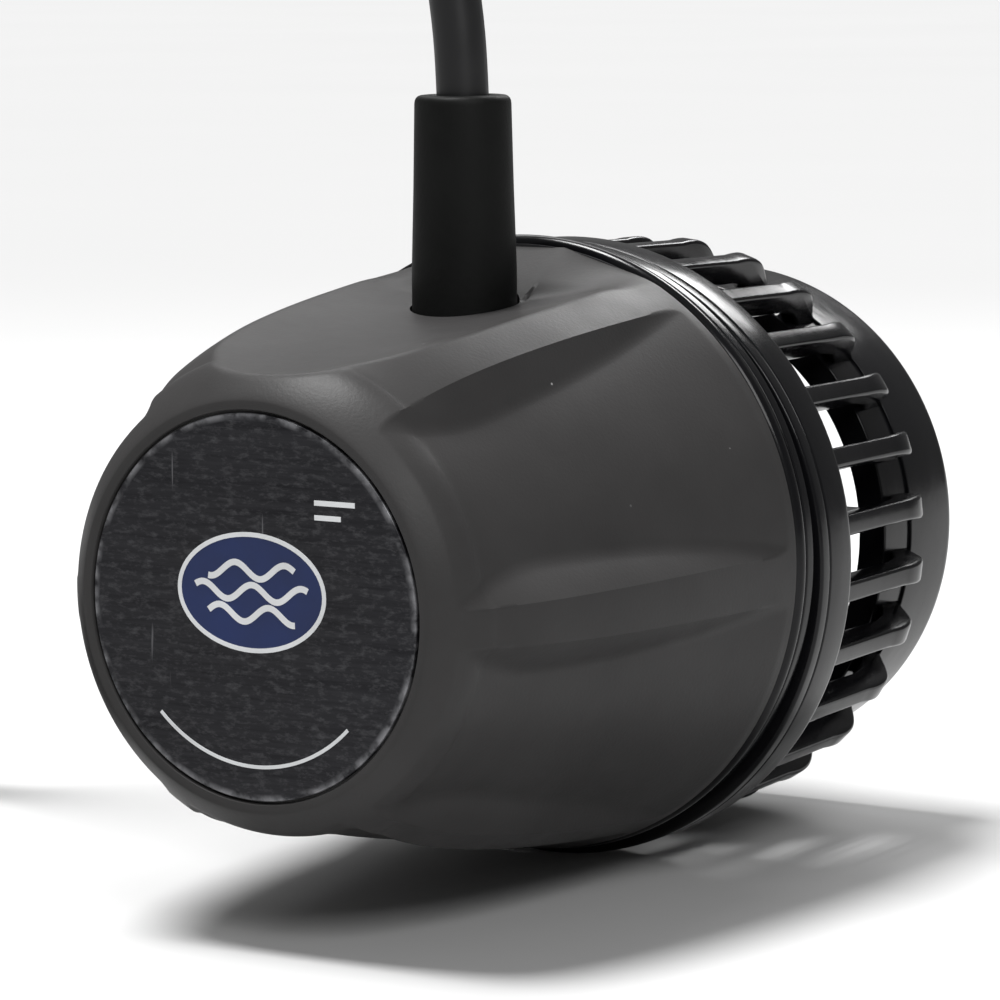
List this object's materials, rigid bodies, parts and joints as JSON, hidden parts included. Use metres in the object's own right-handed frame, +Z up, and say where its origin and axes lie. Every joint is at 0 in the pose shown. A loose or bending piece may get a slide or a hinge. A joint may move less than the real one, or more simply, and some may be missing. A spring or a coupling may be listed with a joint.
{
  "type": "wave maker pump",
  "caption": "Magnet-coupled aquarium wave maker: a dry motor with a cord outside the glass turns a caged propeller inside it.",
  "frame": {"origin": "where the motor's axis meets the pane of glass, at the face of the rubber pads", "axes": "+Y along the pump's axis from the dry motor into the water, +Z up along the cord's exit, +X to the right seen from the motor"},
  "size_m": [0.1649, 0.1201, 0.1335],
  "materials": {
    "housing_plastic": "fine satin moulding",
    "badge_metal": "brushed, dark",
    "gloss_black": "polished",
    "soft_rubber": "matt",
    "cord_jacket": "smooth PVC",
    "tie_strap": "hook and loop strap",
    "connector_plastic": "moulded",
    "nickel": "nickel plated",
    "gold_contact": "plated",
    "steel": "ground",
    "cast_alloy": "turned",
    "stator_iron": "laminated",
    "copper": "enamelled copper wire",
    "board_green": "solder resist",
    "chip_black": "moulded",
    "lead_insulation": "smooth",
    "ceramic": "ground ceramic",
    "shaft_ceramic": "ground ceramic",
    "propeller_plastic": "moulded"
  },
  "bodies": {
    "dry_side": {"motor_housing": "housing_plastic", "badge_plate": "badge_metal", "face_cover": "gloss_black", "cover_gasket": "soft_rubber", "cover_screws": "steel", "dry_pads": "soft_rubber", "strain_relief": "soft_rubber", "cord": "cord_jacket", "cord_coil": "cord_jacket", "cord_tie": "tie_strap", "connector_relief": "connector_plastic", "connector_body": "connector_plastic", "connector_sleeve": "nickel", "connector_pins": "gold_contact", "bearing_tube": "cast_alloy", "tube_screws": "steel", "rear_bearing": "steel", "front_bearing": "steel", "stator_core": "stator_iron", "stator_windings": "copper", "circuit_board": "board_green", "board_parts": "chip_black", "motor_leads": "lead_insulation"},
    "motor_rotor": {"rotor_shaft": "steel", "shaft_clip": "steel", "rotor_bell": "steel", "bell_magnets": "nickel", "drive_disc": "steel", "drive_magnets": "nickel"},
    "wet_side": {"wet_base": "gloss_black", "wet_pads": "soft_rubber", "rear_bushing": "ceramic", "thrust_washer": "ceramic"},
    "propeller_set": {"magnet_carrier": "propeller_plastic", "carrier_plate": "steel", "carrier_magnets": "nickel", "propeller_shaft": "shaft_ceramic", "propeller": "propeller_plastic", "propeller_nut": "steel"},
    "cage": {"cage_flange": "gloss_black", "cage_ribs": "gloss_black", "outlet_ring": "gloss_black", "outlet_spider": "gloss_black", "front_bushing": "ceramic"}
  },
  "joints": [
    {"name": "rotor_spin", "type": "hinge", "parent": "dry_side", "child": "motor_rotor", "pos_m": [0, 0, 0], "axis": [0, 1, 0], "continuous": true},
    {"name": "glass_gap", "type": "slide", "parent": "dry_side", "child": "wet_side", "axis": [0, 1, 0], "range_m": [0, 0.01], "stiffness_N_per_m": 100, "springref_m": -0.02},
    {"name": "propeller_spin", "type": "hinge", "parent": "wet_side", "child": "propeller_set", "pos_m": [0, 0, -0.001], "axis": [0, 1, 0], "continuous": true},
    {"name": "cage_twist", "type": "hinge", "parent": "wet_side", "child": "cage", "pos_m": [0, 0, -0.001], "axis": [0, 1, 0], "range_deg": [0, 15]}
  ],
  "couplings": [
    {"joint": "propeller_spin", "follows": "rotor_spin", "ratio": 1}
  ]
}
